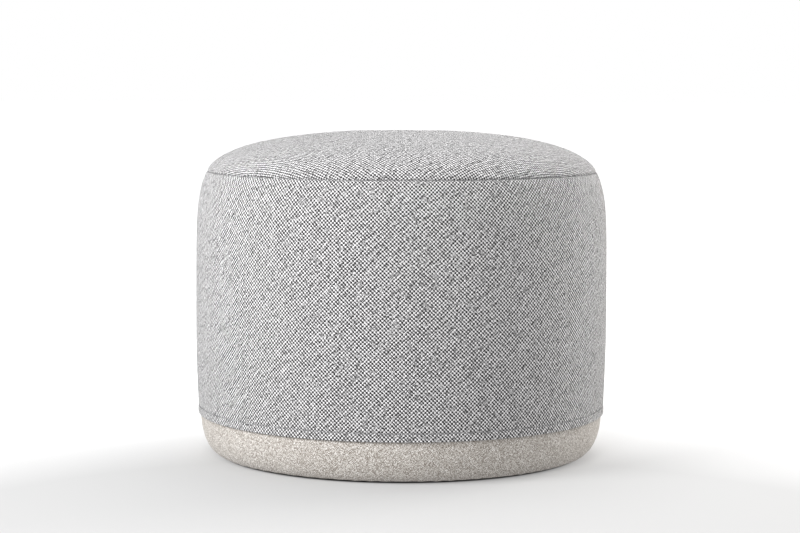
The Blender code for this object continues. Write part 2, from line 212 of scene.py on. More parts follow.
def join_scene(name, mesh, finish, body, stands_for=()):
    """A finished piece: its mesh, material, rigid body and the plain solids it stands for."""
    piece = bpy.data.objects.new(name, mesh)
    bpy.context.scene.collection.objects.link(piece)
    if not mesh.materials:
        mesh.materials.append(finish)
    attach(piece, body)
    if stands_for:
        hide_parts(*stands_for)
    return piece


def thicken(piece, thickness):
    """Gives a skin its thickness, inwards from its face, with crisp cut edges."""
    solid = piece.modifiers.new("thickness", "SOLIDIFY")
    solid.thickness = thickness
    solid.offset = -1.0
    solid.use_rim = True
    shape = piece.evaluated_get(bpy.context.evaluated_depsgraph_get())
    thick = bpy.data.meshes.new_from_object(shape)
    piece.modifiers.remove(solid)
    thick.set_sharp_from_angle(angle=SHARP)
    piece.data = thick
    return piece


def skin(name, outline, thickness, finish, body, stands_for, columns=160, start=0.0, sweep=FULL,
         push=None, flat=False):
    """A turned sheet of cloth: the outline carried round, thickened inwards. Its cloth coordinates are
    metres round the belly and up the outline. For a panel cut as a disc they are the distance along the
    outline from the middle times (cos t, sin t)."""
    points, turn = carried(outline, columns, start, sweep, push)
    closed = sweep >= FULL - 1e-9
    if closed:
        turn = np.append(turn, FULL + start)
    if flat:
        far = length_along(outline)[:, None]
        far = far if outline[0, 0] < outline[-1, 0] else far[-1] - far
        uv = np.stack([far * np.cos(turn)[None, :], far * np.sin(turn)[None, :]], axis=-1)
    else:
        up = -length_along(outline)[:, None] + 0 * turn[None, :]
        uv = np.stack([turn[None, :] * YARN * YARNS_ROUND / FULL + 0 * up, up], axis=-1)
    mesh = surface(name, points, uv, (False, closed))
    return thicken(join_scene(name, mesh, finish, body, stands_for), thickness)


def closed_form(name, outline, finish, body, stands_for, columns=120, push=None):
    """A solid turned piece: a closed outline carried round Z."""
    points, turn = carried(outline, columns, push=push)
    return join_scene(name, surface(name, points, None, (False, True)), finish, body, stands_for)


def waves(seed, count, around, along, size):
    """A soft irregular surface: a sum of sines whose whole numbers of turns round keep it joined up."""
    pick = np.random.default_rng(seed)
    turns = pick.integers(around[0], around[1] + 1, count) * pick.choice([-1, 1], count)
    rise = pick.uniform(along[0], along[1], count)
    phase = pick.uniform(0, FULL, count)
    share = pick.uniform(0.5, 1.0, count)
    share *= size / np.sqrt((share**2).sum() / 2)

    def height(turn, far):
        return sum(a * np.sin(n * turn + k * far * FULL + p) for a, n, k, p in zip(share, turns, rise, phase))

    return height


def stitches(name, centre, along, out, length, radius, bow, finish, body, stands_for):
    """A row of equal stitches: a six-sided rod swept along each run, whose middle stands bow proud."""
    ring = np.linspace(0, FULL, 6, endpoint=False)
    reach = np.array([-0.5, -0.38, 0.0, 0.38, 0.5])
    thick = np.array([0.35, 0.95, 1.0, 0.95, 0.35]) * radius
    lift = bow * (1.0 - (2 * reach) ** 2)
    side_way = np.cross(out, along)
    n = len(centre)
    spine = centre[:, None] + along[:, None] * (reach * length)[:, None] + out[:, None] * lift[:, None]
    loop = (out[:, None, None] * np.cos(ring)[:, None] + side_way[:, None, None] * np.sin(ring)[:, None])
    points = spine[:, :, None] + loop * thick[:, None, None]
    index = np.arange(n * 30).reshape(n, 5, 6)
    rolled = np.roll(index, -1, axis=2)
    quads = np.stack([index[:, :-1], rolled[:, :-1], rolled[:, 1:], index[:, 1:]], axis=-1).reshape(-1, 4)
    caps = [index[:, 0, ::-1].reshape(-1, 6), index[:, -1].reshape(-1, 6)]
    mesh = mesh_of(name, points.reshape(-1, 3), [quads] + caps)
    return join_scene(name, mesh, finish, body, stands_for)


def ring_of_stitches(name, radius, z, pitch, length, thick, bow, finish, body, stands_for, lean=0.0):
    """Stitches end to end round a circle; lean turns each one out of the circle's direction."""
    count = int(round(FULL * radius / pitch))
    turn = FULL * np.arange(count) / count
    out = np.stack([np.cos(turn), np.sin(turn), 0 * turn], axis=-1)
    round_way = np.stack([-np.sin(turn), np.cos(turn), 0 * turn], axis=-1)
    along = round_way * math.cos(lean) + np.array([0.0, 0.0, math.sin(lean)])
    centre = out * radius + np.array([0.0, 0.0, z])
    return stitches(name, centre, along, out, length, thick, bow, finish, body, stands_for)


def staples(name, centre, along, down, width, body):
    """Staple crowns, each a flat wire lying against the cloth with its two corners turned in."""
    half = np.array([(0.5, -0.0004), (0.5, 0.0003), (0.46, 0.0006)])
    path = np.vstack([half * (-1, 1), half[::-1]])
    over = np.cross(along, down)
    wire = 0.00025
    corner = np.array([(-1, -1.6), (1, -1.6), (1, 1.6), (-1, 1.6)]) * wire
    n = len(centre)
    spine = centre[:, None] + along[:, None] * (path[:, 0] * width)[:, None]
    spine = spine + down[:, None] * path[:, 1][:, None]
    tilt = np.array([(1, 0), (0.9, 0.4), (0.4, 0.9), (0.4, 0.9), (0.9, 0.4), (1, 0)])
    tilt[3:, 0] *= -1
    face = down[:, None] * tilt[:, 1][:, None] - along[:, None] * tilt[:, 0][:, None]
    points = spine[:, :, None] + face[:, :, None] * corner[:, 0][:, None]
    points = points + over[:, None, None] * corner[:, 1][:, None]
    index = np.arange(n * 24).reshape(n, 6, 4)
    rolled = np.roll(index, -1, axis=2)
    quads = np.stack([index[:, :-1], index[:, 1:], rolled[:, 1:], rolled[:, :-1]], axis=-1).reshape(-1, 4)
    caps = [index[:, 0].reshape(-1, 4), index[:, -1, ::-1].reshape(-1, 4)]
    mesh = mesh_of(name, points.reshape(-1, 3), [quads] + caps)
    return join_scene(name, mesh, steel, body, ())


# ---------------------------------------------------------------- finishes


class Finish:
    """A material built node by node; each call gives the output that the next one takes."""

    def __init__(self, name, colour, roughness, metallic=0.0, sheen=0.0):
        self.made = bpy.data.materials.new(name)
        self.made.use_nodes = True
        self.tree = self.made.node_tree
        self.shader = self.tree.nodes["Principled BSDF"]
        self.shader.inputs["Base Color"].default_value = (*colour, 1.0)
        self.shader.inputs["Roughness"].default_value = roughness
        self.shader.inputs["Metallic"].default_value = metallic
        self.shader.inputs["Sheen Weight"].default_value = sheen
        self.shader.inputs["Sheen Roughness"].default_value = 0.6
        self.made.diffuse_color = (*colour, 1.0)

    def node(self, kind, values, output=0, **settings):
        made = self.tree.nodes.new("ShaderNode" + kind)
        for name, value in settings.items():
            setattr(made, name, value)
        for key, value in values.items():
            if isinstance(value, bpy.types.NodeSocket):
                self.tree.links.new(value, made.inputs[key])
            else:
                made.inputs[key].default_value = value
        return made.outputs[output]

    def math(self, operation, *values):
        return self.node("Math", dict(enumerate(values)), operation=operation)

    def vector(self, operation, *values):
        output = 1 if operation == "LENGTH" else 0
        return self.node("VectorMath", dict(enumerate(values)), output, operation=operation)

    def times(self, value, share):
        return self.math("MULTIPLY", value, share)

    def plus(self, first, *others):
        for other in others:
            first = self.math("ADD", first, other)
        return first

    def place(self):
        return self.node("TexCoord", {}, "Object")

    def cloth(self):
        return self.node("UVMap", {}, uv_map="cloth")

    def split(self, vector):
        made = self.tree.nodes.new("ShaderNodeSeparateXYZ")
        self.tree.links.new(vector, made.inputs[0])
        return made.outputs[0], made.outputs[1], made.outputs[2]

    def stretch(self, vector, *sizes):
        return self.vector("MULTIPLY", vector, sizes)

    def noise(self, vector, scale, detail=2.0, rough=0.5):
        values = {"Vector": vector, "Scale": scale, "Detail": detail, "Roughness": rough}
        return self.node("TexNoise", values, "Fac")

    def wander(self, vector, scale, detail):
        """A smooth random vector, each part from 0 to 1."""
        return self.node("TexNoise", {"Vector": vector, "Scale": scale, "Detail": detail}, "Color")

    def cells(self, yarns):
        """A random value for each crossing of two yarns."""
        nearest = self.vector("FLOOR", self.vector("ADD", yarns, (0.5, 0.5, 0.5)))
        return self.node("TexWhiteNoise", {"Vector": nearest}, "Value", noise_dimensions="2D")

    def plain_weave(self, x, y):
        """cos(pi x) cos(pi y): high where one set of yarns lies on top, low where the other does."""
        return self.math("MULTIPLY", self.math("COSINE", self.times(x, math.pi)),
                         self.math("COSINE", self.times(y, math.pi)))

    def flecks(self, vector, size):
        """Random square flecks, each set off against its neighbours, so that they stay even."""
        grid = self.vector("FLOOR", self.stretch(vector, 1 / size, 1 / size, 0))
        total = 0.0
        for across, up, sign in ((0.0, 0.0, 1.0), (1.0, 0.0, -1.0), (0.0, 1.0, -1.0), (1.0, 1.0, 1.0)):
            beside = self.vector("ADD", grid, (across, up, 0.0))
            fleck = self.node("TexWhiteNoise", {"Vector": beside}, "Value", noise_dimensions="2D")
            total = self.math("ADD", total, self.math("MULTIPLY", fleck, sign))
        return total

    def ramp(self, value, *stops):
        """Colour by value: stops are (position, colour)."""
        made = self.tree.nodes.new("ShaderNodeValToRGB")
        self.tree.links.new(value, made.inputs[0])
        bar = made.color_ramp
        while len(bar.elements) < len(stops):
            bar.elements.new(0.5)
        for element, (at, colour) in zip(bar.elements, stops):
            element.position = at
            element.color = (*colour, 1.0)
        return made.outputs[0]

    def spread(self, value, low, high, new_low, new_high):
        """Carries a range of values over to another, held at its ends."""
        return self.node("MapRange", {0: value, 1: low, 2: high, 3: new_low, 4: new_high})

    def mix(self, share, one, two, blend="MIX"):
        made = self.tree.nodes.new("ShaderNodeMix")
        made.data_type = "RGBA"
        made.blend_type = blend
        for key, value in ((0, share), (6, one), (7, two)):
            if isinstance(value, bpy.types.NodeSocket):
                self.tree.links.new(value, made.inputs[key])
            else:
                made.inputs[key].default_value = value if key == 0 else (*value, 1.0)
        return made.outputs[2]

    def wear(self, colour=None, roughness=None, height=None, depth=0.0, strength=1.0):
        """Sets the shader's colour, roughness and bump."""
        if colour is not None:
            self.tree.links.new(colour, self.shader.inputs["Base Color"])
        if roughness is not None:
            self.tree.links.new(roughness, self.shader.inputs["Roughness"])
        if height is not None:
            bump = self.node("Bump", {"Height": height, "Distance": depth, "Strength": strength})
            self.tree.links.new(bump, self.shader.inputs["Normal"])
        return self.made


def woven_cover(name, stray, uneven):
    """Coarse plain weave of light and dark yarns, which stray sideways by a share of their pitch. With x and
    y in yarns, the light crossings are where cos(pi(x+y)) and cos(pi(x-y)) are both high; the first is the
    stronger, so that they lean together. Each crossing is a little lighter or darker than the next. The low
    end of the colour is partly the dark yarns' own colour and partly painted shade: the colour goes near
    black where the weave's height is low, in the hollows between the yarns."""
    f = Finish(name, (0.45, 0.45, 0.45), 0.95, sheen=0.12)
    cloth = f.cloth()
    wander = f.vector("SUBTRACT", f.wander(cloth, 240.0, 2.0), (0.5, 0.5, 0.5))
    yarns = f.vector("ADD", f.stretch(cloth, 1 / YARN, 1 / YARN, 0), f.stretch(wander, stray, stray, 0))
    x, y, _ = f.split(yarns)
    patch = f.spread(f.noise(cloth, 130.0), 0.35, 0.65, 0.44, 0.54)
    lean = f.math("COSINE", f.times(f.plus(x, y), math.pi))
    cross = f.math("COSINE", f.times(f.math("SUBTRACT", x, y), math.pi))
    crossing = f.flecks(f.vector("ADD", yarns, (0.5, 0.5, 0.5)), 1.0)
    wave = f.plus(f.times(lean, 0.62), f.times(cross, patch),
                  f.times(f.math("SUBTRACT", f.cells(yarns), 0.5), uneven), f.times(crossing, 0.40))
    fibre = f.noise(cloth, 2600.0, 2.0, 0.6)
    slub = f.noise(f.stretch(cloth, 40.0, 420.0, 0), 1.0)
    warp = f.noise(f.stretch(cloth, 420.0, 40.0, 0), 1.0)
    tone = f.plus(wave, f.times(f.math("SUBTRACT", f.plus(slub, warp), 1.0), 0.1),
                  f.times(f.math("SUBTRACT", fibre, 0.5), 0.6), f.times(f.flecks(cloth, 0.0013), 0.40))
    tone = f.spread(tone, -0.40, 0.40, 0.0, 1.0)
    # the ramp's darkest stops, down to near black, are partly the dark yarns' colour and partly painted shade
    # in the hollows, where the bump's height is low
    colour = f.ramp(tone, (0.0, (0.015, 0.014, 0.015)), (0.30, (0.11, 0.108, 0.11)),
                    (0.64, (0.49, 0.484, 0.49)), (1.0, (0.96, 0.95, 0.96)))
    return f.wear(colour, None, f.plus(wave, f.times(fibre, 0.5)), 0.0009, 1.0)


def linen_cloth():
    """Plain linen: uneven flax yarns both ways, each crossing a little lighter or darker, with slubs."""
    f = Finish("greige linen", (0.56, 0.52, 0.47), 0.9, sheen=0.1)
    cloth = f.cloth()
    drift = f.stretch(f.wander(cloth, 160.0, 2.0), 1.6, 1.6, 0)
    yarns = f.vector("ADD", f.stretch(cloth, 1 / LINEN_YARN, 1 / LINEN_YARN, 0), drift)
    x, y, _ = f.split(yarns)
    grid = f.plain_weave(x, y)
    slub = f.noise(f.stretch(cloth, 70.0, 700.0, 0), 1.0, 3.0, 0.6)
    warp = f.noise(f.stretch(cloth, 700.0, 70.0, 0), 1.0, 3.0, 0.6)
    tone = f.plus(f.times(grid, 0.10), f.cells(yarns), f.times(f.plus(slub, warp), 0.35),
                  f.times(f.noise(cloth, 30.0, 3.0), 0.06), f.times(f.flecks(cloth, 0.0013), 0.35))
    tone = f.spread(tone, 0.36, 1.42, 0.0, 1.0)
    colour = f.ramp(tone, (0.0, (0.22, 0.19, 0.16)), (0.4, (0.43, 0.392, 0.355)),
                    (0.7, (0.60, 0.565, 0.525)), (1.0, (0.80, 0.775, 0.745)))
    return f.wear(colour, None, f.plus(grid, f.times(slub, 2.0)), 0.00025, 0.8)


def cotton_lining():
    """Unbleached cotton: a fine weave with seed flecks."""
    f = Finish("unbleached cotton", (0.62, 0.60, 0.54), 0.92, sheen=0.05)
    cloth = f.cloth()
    x, y, _ = f.split(f.stretch(cloth, 1 / 0.0005, 1 / 0.0005, 0))
    grid = f.plain_weave(x, y)
    blotch = f.noise(cloth, 14.0, 3.0)
    fleck = f.spread(f.noise(cloth, 700.0, 1.0), 0.73, 0.80, 0.0, 0.6)
    colour = f.mix(blotch, (0.54, 0.505, 0.44), (0.66, 0.635, 0.57))
    colour = f.mix(fleck, colour, (0.32, 0.23, 0.14))
    colour = f.mix(f.spread(grid, -1.0, 1.0, 0.0, 0.18), colour, (0.40, 0.37, 0.31))
    colour = f.mix(f.spread(f.flecks(cloth, 0.0016), -1.2, 1.2, 0.0, 0.30), colour, (0.44, 0.41, 0.35))
    return f.wear(colour, None, grid, 0.00008, 0.6)


def fibre_wadding(name, light):
    """Matted fibre: tangled fine noise with soft clumps."""
    f = Finish(name, (light, light, light * 0.98), 1.0, sheen=0.3)
    place = f.place()
    tangle = f.noise(place, 900.0, 4.0, 0.7)
    clump = f.noise(place, 45.0, 3.0)
    tone = f.plus(f.times(tangle, 0.6), f.times(clump, 0.5))
    low, high = light * 0.72, min(1.0, light * 1.06)
    colour = f.ramp(tone, (0.35, (low, low, low * 0.97)), (0.75, (high, high, high * 0.98)))
    return f.wear(colour, None, tone, 0.0006, 0.7)


def open_foam():
    """Cut foam: small round cells, darker inside as painted shade in the open pores, with broad yellowing."""
    f = Finish("cream foam", (0.78, 0.70, 0.47), 0.95)
    place = f.place()
    cell = f.node("TexVoronoi", {"Vector": place, "Scale": 520.0}, "Distance")
    age = f.noise(place, 9.0, 3.0)
    colour = f.mix(age, (0.74, 0.63, 0.36), (0.86, 0.80, 0.60))
    # painted shade: each cell darkens towards its middle, where the open pore lies in shade
    colour = f.mix(f.spread(cell, 0.15, 0.6, 0.45, 0.0), colour, (0.42, 0.34, 0.18))
    return f.wear(colour)


def jute_webbing():
    """Strap webbing: ribs along the strap crossed by finer weft, with a dark stripe near each edge."""
    f = Finish("jute webbing", (0.42, 0.31, 0.19), 0.9)
    cloth = f.cloth()
    x, y, _ = f.split(cloth)
    rib = f.math("SINE", f.times(y, FULL / 0.0025))
    weft = f.math("SINE", f.times(x, FULL / 0.0036))
    grid = f.math("MULTIPLY", rib, weft)
    fibre = f.noise(f.stretch(cloth, 200.0, 1400.0, 0), 1.0, 3.0)
    colour = f.ramp(f.plus(f.times(grid, 0.18), fibre), (0.3, (0.23, 0.16, 0.09)),
                    (0.55, (0.45, 0.34, 0.21)), (0.8, (0.62, 0.50, 0.33)))
    edge = f.math("ABSOLUTE", f.math("SUBTRACT", f.math("ABSOLUTE", y), 0.0175))
    colour = f.mix(f.spread(edge, 0.0014, 0.0020, 0.8, 0.0), colour, (0.20, 0.05, 0.04))
    return f.wear(colour, None, grid, 0.0003, 0.8)


def hessian_cloth():
    """Open sacking: round yarns both ways with dark gaps between, which are painted shade in the holes of the
    open weave.
    """
    f = Finish("hessian", (0.48, 0.36, 0.21), 0.95)
    cloth = f.cloth()
    drift = f.stretch(f.wander(cloth, 60.0, 1.0), 1.0, 1.0, 0)
    x, y, _ = f.split(f.vector("ADD", f.stretch(cloth, 1 / 0.0021, 1 / 0.0021, 0), drift))
    one = f.math("ABSOLUTE", f.math("SINE", f.times(x, math.pi)))
    two = f.math("ABSOLUTE", f.math("SINE", f.times(y, math.pi)))
    yarn = f.math("MAXIMUM", one, two)
    fibre = f.noise(cloth, 900.0, 2.0)
    colour = f.mix(fibre, (0.34, 0.24, 0.13), (0.62, 0.49, 0.30))
    # painted shade: the gaps between the yarns go dark brown, for the shade seen through the open weave
    colour = f.mix(f.spread(yarn, 0.45, 0.75, 0.85, 0.0), colour, (0.08, 0.055, 0.03))
    return f.wear(colour)


def black_nonwoven():
    """Spun non-woven cloth: black, with a fine pressed dot pattern and loose fibres."""
    f = Finish("black non-woven", (0.025, 0.025, 0.027), 0.85, sheen=0.15)
    cloth = f.cloth()
    x, y, _ = f.split(f.stretch(cloth, 1 / 0.0016, 1 / 0.0016, 0))
    dot = f.math("MULTIPLY", f.math("SINE", f.times(f.plus(x, y), math.pi)),
                 f.math("SINE", f.times(f.math("SUBTRACT", x, y), math.pi)))
    fibre = f.noise(f.stretch(cloth, 500.0, 1300.0, 0), 1.0, 4.0, 0.7)
    tone = f.plus(f.times(dot, 0.15), fibre)
    colour = f.ramp(tone, (0.3, (0.012, 0.012, 0.013)), (0.75, (0.055, 0.055, 0.058)))
    return f.wear(colour, None, tone, 0.00025, 0.8)


def board_plies(name, thin, pale, dark):
    """Plywood: grain along X on the faces, and level plies of crossed grain on the edges."""
    f = Finish(name, pale, 0.65)
    place = f.place()
    grain = f.noise(f.stretch(place, 6.0, 160.0, 160.0), 1.0, 4.0, 0.6)
    figure = f.noise(f.stretch(place, 1.5, 14.0, 14.0), 1.0, 2.0)
    ring = f.math("SINE", f.times(f.plus(figure, f.times(grain, 0.05)), 60.0))
    tone = f.plus(f.times(grain, 0.7), f.times(ring, 0.12))
    face = f.ramp(tone, (0.2, dark), (0.6, pale))
    z = f.split(place)[2]
    ply = f.math("SINE", f.times(z, math.pi / thin))
    end = f.noise(f.stretch(place, 900.0, 900.0, 200.0), 1.0, 2.0)
    edge = f.mix(f.spread(ply, -0.25, 0.25, 0.0, 1.0), tuple(c * 0.55 for c in dark), pale)
    edge = f.mix(f.spread(end, 0.4, 0.7, 0.0, 0.45), edge, dark)
    up = f.split(f.node("NewGeometry", {}, "Normal"))[2]
    flat = f.spread(f.math("ABSOLUTE", up), 0.5, 0.8, 0.0, 1.0)
    return f.wear(f.mix(flat, edge, face))


def sawn_softwood():
    """Sawn spruce: growth rings round a pith that lies off the post, drawn out along Z."""
    f = Finish("sawn spruce", (0.72, 0.56, 0.34), 0.75)
    place = f.place()
    bend = f.noise(f.stretch(place, 12.0, 12.0, 2.5), 1.0, 2.0)
    x, y, _ = f.split(place)
    far = f.math("SQRT", f.plus(f.math("POWER", f.plus(x, 0.035), 2.0), f.math("POWER", y, 2.0)))
    ring = f.math("SINE", f.plus(f.times(far, FULL / 0.0032), f.times(bend, 9.0)))
    fibre = f.noise(f.stretch(place, 1200.0, 1200.0, 40.0), 1.0, 3.0)
    tone = f.plus(f.spread(ring, -0.2, 1.0, 0.0, 0.6), f.times(fibre, 0.5))
    colour = f.ramp(tone, (0.1, (0.80, 0.65, 0.42)), (0.55, (0.70, 0.52, 0.29)), (1.0, (0.46, 0.28, 0.13)))
    return f.wear(colour)


def brown_hardboard():
    """Pressed fibre board: dark brown with short pale fibres."""
    f = Finish("brown hardboard", (0.27, 0.16, 0.09), 0.7)
    place = f.place()
    fibre = f.noise(place, 420.0, 4.0, 0.7)
    cloud = f.noise(place, 22.0, 2.0)
    tone = f.plus(f.times(fibre, 0.7), f.times(cloud, 0.35))
    colour = f.ramp(tone, (0.35, (0.13, 0.07, 0.04)), (0.55, (0.27, 0.165, 0.095)), (0.8, (0.45, 0.31, 0.19)))
    return f.wear(colour)


def small_steel():
    """Zinc-plated steel: a grey-blue sheen with faint clouding."""
    f = Finish("zinc steel", (0.62, 0.63, 0.65), 0.35, metallic=1.0)
    cloud = f.noise(f.place(), 260.0, 3.0)
    return f.wear(f.mix(cloud, (0.50, 0.51, 0.54), (0.76, 0.76, 0.75)))


def moulded_plastic():
    """Matt black moulded plastic with a fine spark-eroded grain and scuffs."""
    f = Finish("black plastic", (0.035, 0.035, 0.037), 0.5)
    place = f.place()
    grain = f.noise(place, 2400.0, 2.0)
    scuff = f.spread(f.noise(f.stretch(place, 40.0, 260.0, 60.0), 1.0, 4.0), 0.55, 0.75, 0.0, 0.5)
    colour = f.mix(scuff, (0.030, 0.030, 0.032), (0.11, 0.11, 0.11))
    return f.wear(colour, f.spread(grain, 0.3, 0.7, 0.42, 0.62), grain, 0.00005, 0.5)


def spun_thread(name, dark, light):
    """Twisted sewing thread, mottled along its length."""
    f = Finish(name, light, 0.85, sheen=0.1)
    return f.wear(f.mix(f.noise(f.place(), 900.0, 1.0), dark, light))


cover_cloth = woven_cover("woven cover cloth", 0.35, 0.50)
crown_cloth = woven_cover("woven crown cloth", 0.8, 0.55)
linen = linen_cloth()
lining = cotton_lining()
backing = fibre_wadding("quilted backing", 0.82)
wadding = fibre_wadding("polyester wadding", 0.90)
foam = open_foam()
webbing = jute_webbing()
hessian = hessian_cloth()
nonwoven = black_nonwoven()
base_plywood = board_plies("base plywood", 0.0017, (0.74, 0.60, 0.41), (0.52, 0.37, 0.21))
steel = small_steel()
plastic = moulded_plastic()
grey_thread = spun_thread("grey thread", (0.16, 0.16, 0.165), (0.34, 0.34, 0.35))
pale_thread = spun_thread("pale thread", (0.62, 0.59, 0.52), (0.84, 0.81, 0.75))

# ---------------------------------------------------------------- the woven cover


def roll(far):
    """How far a panel rolls in at a distance from the top seam."""
    return ROLL_DEPTH * np.clip(1.0 - far / ROLL_WIDTH, 0.0, 1.0) ** 2


def cover_outline():
    """The side's cloth from the top seam down to the stitching, and from there as the hem: a dip at the
    stitches, a swell below them, the fold, and the turned-in edge back up inside."""
    start = 0.0040  # the hem's part begins this far above its stitches
    wall = side(np.linspace(SEAM_Z - GAP / 4, STITCH_Z + start, 400))
    wall = wall - outward(wall) * roll(length_along(wall))[:, None]
    notch = side_radius(STITCH_Z) - 0.0008
    face = HEM_RADIUS + 0.0002
    fold = (HEM_RADIUS + HEM_INSIDE) / 2 + 0.0001
    half = face - fold
    bottom = HEM_Z + half * 0.9
    drop = np.linspace(start, 0.0, 12)[1:]
    pull = np.exp(-((drop / 0.0010) ** 2))
    fall = np.linspace(0.0, STITCH_Z - bottom, 24)[1:]
    swell = 1 - np.exp(-((fall / 0.0012) ** 2))
    turn = np.linspace(0, math.pi, 13)[1:]
    back_up = np.linspace(bottom, STITCH_Z + 0.0010, 9)[1:]
    radius = np.concatenate([side_radius(STITCH_Z + drop) * (1 - pull) + notch * pull,
                             notch + (face - notch) * swell, fold + half * np.cos(turn),
                             np.full(len(back_up), fold - half)])
    height = np.concatenate([STITCH_Z + drop, STITCH_Z - fall, bottom - half * 0.9 * np.sin(turn), back_up])
    return wall, np.stack([radius, height], axis=-1)


wall, hem = cover_outline()
side_outline = np.vstack([wall[:8:2], even(wall[8:], 0.0024), hem])
soft_side = waves(3, 9, (2, 9), (1.0, 6.0), 0.00022)
seam_pucker = waves(5, 6, (90, 170), (0.0, 0.0), 0.00010)
hem_pull = waves(8, 6, (120, 200), (0.0, 0.0), 0.00010)
side_length = length_along(side_outline)[-1]


def cover_push(turn, far):
    """Broad softness over the whole side, small puckers that die away from the seam and the hem, and
    the groove of the panel's closing seam up the back."""
    broad = soft_side(turn, far) * np.clip(far / 0.03, 0, 1) * np.clip((side_length - far) / 0.06, 0, 1)
    seam = seam_pucker(turn, far) * np.exp(-((far - 0.004) / 0.009) ** 2)
    hem_near = np.exp(-(((far - side_length + 0.034) / 0.008) ** 2))
    from_back = np.angle(np.exp(1j * (turn - math.pi / 2))) * BELLY_RADIUS
    closing = 0.0007 * np.exp(-((from_back / 0.0014) ** 2)) * (far < side_length - 0.028)
    return broad - abs(seam) - abs(hem_pull(turn, far)) * hem_near - closing


for number in range(4):
    stands = ("cover_side",) if number == 0 else ()
    piece = skin("cover_side_panel_%d" % (number + 1), side_outline, CLOTH, cover_cloth, "cover", stands,
                 columns=96, start=-0.75 * math.pi + number * math.pi / 2, sweep=math.pi / 2,
                 push=cover_push)

top_outline = crown(np.linspace(0.0, 1.0, 500))
top_far = length_along(top_outline)
top_radius = top_far[-1]
top_outline = top_outline - outward(top_outline) * roll(top_radius - top_far)[:, None]
top_outline = np.vstack([even(top_outline[:-12], 0.0032), top_outline[-11::2]])
top_soft = waves(12, 9, (1, 7), (1.0, 7.0), 0.00030)
top_pucker = waves(15, 6, (90, 170), (0.0, 0.0), 0.00012)


def top_push(turn, far):
    """Broad softness that dies out at the middle and at the seam, with puckers along the seam."""
    broad = top_soft(turn, far) * np.clip(far / 0.08, 0, 1) * np.clip((top_radius - far) / 0.03, 0, 1)
    return broad - abs(top_pucker(turn, far)) * np.exp(-(((top_radius - far - 0.004) / 0.009) ** 2))


piece = skin("cover_top_panel", top_outline, CLOTH, crown_cloth, "cover", ("cover_top",),
             columns=240, push=top_push, flat=True)

ring_of_stitches("cover_hem_stitches", side_radius(STITCH_Z) - 0.0010, STITCH_Z, 0.0050, 0.0041, 0.00042,
                 0.0006, grey_thread, "cover", ("cover_hem_thread",))
seam = side(np.array([SEAM_Z]), 0.0021)[0]
ring_of_stitches("cover_seam_stitches", seam[0], seam[1], 0.0032, 0.0027, 0.00035, 0.0004, grey_thread,
                 "cover", ("cover_seam_thread",), lean=0.25)

# The soft backing quilted behind the cover
fluff = waves(21, 12, (3, 40), (4.0, 30.0), 0.00012)
back_side = side(np.linspace(SEAM_Z - 0.0022, 0.0950, 110), BACKING_TOP)
piece = skin("cover_side_wadded_back", back_side, 0.0026, backing, "cover", ("cover_side_backing",),
             columns=160)
back_top = even(crown(np.linspace(0.0, 0.985, 300), BACKING_TOP), 0.0045)
piece = skin("cover_top_wadded_back", back_top, 0.0026, backing, "cover", ("cover_top_backing",),
             columns=120, push=lambda turn, far: -abs(fluff(turn, far)), flat=True)

# ---------------------------------------------------------------- linen foot and lining

linen_wall = np.stack([np.full(26, WALL_RADIUS), np.linspace(BAND_Z - 0.0003, TURN_Z, 26)], axis=-1)
under = even([(0.2030, UNDER_Z), (0.1860, UNDER_Z)], 0.0020)
turned = even(np.vstack([linen_wall[-1:], foot()[1:], under]), 0.0020)
linen_outline = np.vstack([linen_wall, turned[1:]])
linen_length = length_along(linen_outline)[-1]
linen_soft = waves(31, 8, (3, 14), (2.0, 9.0), 0.00018)
pleat = waves(33, 7, (52, 96), (0.0, 4.0), 0.00042)


def linen_push(turn, far):
    """A little slackness on the wall, and gathers that grow under the foot towards the cut edge."""
    wall_part = linen_soft(turn, far) * np.clip((0.075 - far) / 0.03, 0, 1) * np.clip(far / 0.04, 0, 1)
    gather = pleat(turn, far) * np.clip((far - linen_length + 0.060) / 0.035, 0, 1)
    return -abs(wall_part) + np.where(gather > 0, gather, gather * 0.35)


piece = skin("linen_foot_band", linen_outline, LINEN, linen, "pouf_body", ("linen_base",),
             columns=320, push=linen_push)
ring_of_stitches("band_seam_stitches", WALL_RADIUS - 0.0006, BAND_Z, 0.0030, 0.0024, 0.00030, 0.0003,
                 pale_thread, "pouf_body", ("band_seam_thread",), lean=0.5)

lining_outline = np.vstack([side(np.linspace(SEAM_Z - GAP, SWELL_Z, 50), LINING_TOP),
                            [(WALL_RADIUS, WALL_TOP), (WALL_RADIUS, BAND_Z + 0.0002)]])
lining_outline = even(lining_outline, 0.0030)
slack = waves(41, 10, (4, 26), (2.0, 12.0), 0.00055)
lining_length = length_along(lining_outline)[-1]


def lining_push(turn, far):
    """Soft slack creases, always inwards, dying away at both seams."""
    return -abs(slack(turn, far)) * np.clip(far / 0.02, 0, 1) * np.clip((lining_length - far) / 0.015, 0, 1)


piece = skin("lining_side_cloth", lining_outline, 0.0007, lining, "pouf_body", ("lining_side",),
             columns=240, push=lining_push)
cap = even(crown(np.linspace(0.0, 0.999, 300), LINING_TOP), 0.0035)
cap_length = length_along(cap)[-1]
cap_slack = waves(43, 10, (3, 20), (3.0, 14.0), 0.00055)


def cap_push(turn, far):
    """The same creases on the lining's top, none at the middle."""
    return -abs(cap_slack(turn, far)) * np.clip(far / 0.08, 0, 1) * np.clip((cap_length - far) / 0.02, 0, 1)


piece = skin("lining_top_cloth", cap, 0.0007, lining, "pouf_body", ("lining_top",),
             columns=200, push=cap_push, flat=True)
seam = side(np.array([SEAM_Z]), LINING_TOP + 0.0004)[0]
ring_of_stitches("lining_seam_stitches", seam[0], seam[1], 0.0030, 0.0026, 0.00032, 0.0003, pale_thread,
                 "pouf_body", ("lining_seam_thread",), lean=0.3)

# ---------------------------------------------------------------- fillings

